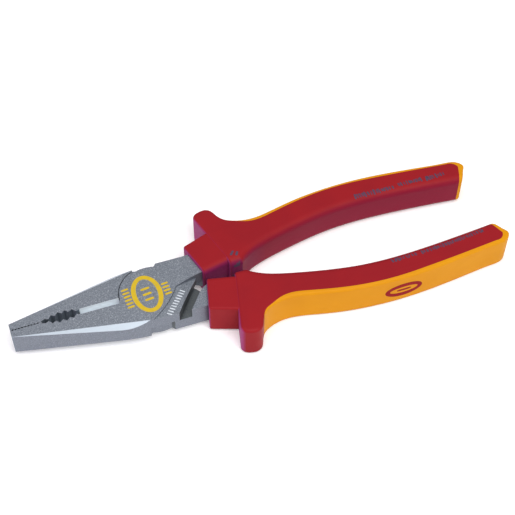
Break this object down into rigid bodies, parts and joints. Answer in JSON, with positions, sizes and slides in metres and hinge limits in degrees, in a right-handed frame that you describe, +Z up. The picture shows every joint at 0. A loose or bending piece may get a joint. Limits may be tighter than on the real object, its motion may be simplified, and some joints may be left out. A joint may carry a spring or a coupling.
{
  "type": "insulated combination pliers",
  "caption": "Insulated combination pliers: lap-jointed forged jaws with pipe grip and side cutters, two-colour moulded handles with finger guards.",
  "frame": {"origin": "centre of the bounding box: on the tool's long symmetry axis and middle plane, 44.05 mm behind the rivet's axis", "axes": "+X towards the handle ends (jaws at -X), +Y across the tool, +Z up along the rivet's axis"},
  "size_m": [0.2, 0.0658, 0.0144],
  "materials": {
    "forged_steel": "fine-blasted satin steel, ground faces",
    "rivet_steel": "ground flush, satin",
    "shell_red": "smooth satin moulding",
    "inlay_yellow": "smooth satin moulding",
    "liner_pale": "plain moulding, hidden"
  },
  "bodies": {
    "lower_jaw_lever": {"lower_jaw_half": "forged_steel", "pivot_rivet": "rivet_steel", "upper_handle_liner": "liner_pale", "upper_handle_shell": "shell_red", "upper_handle_inlay": "inlay_yellow"},
    "upper_jaw_lever": {"upper_jaw_half": "forged_steel", "lower_handle_liner": "liner_pale", "lower_handle_shell": "shell_red", "lower_handle_inlay": "inlay_yellow"}
  },
  "joints": [
    {"name": "rivet_pivot", "type": "hinge", "parent": "lower_jaw_lever", "child": "upper_jaw_lever", "pos_m": [-0.04405, 0, 0], "axis": [0, 0, -1], "range_deg": [0, 38]}
  ]
}
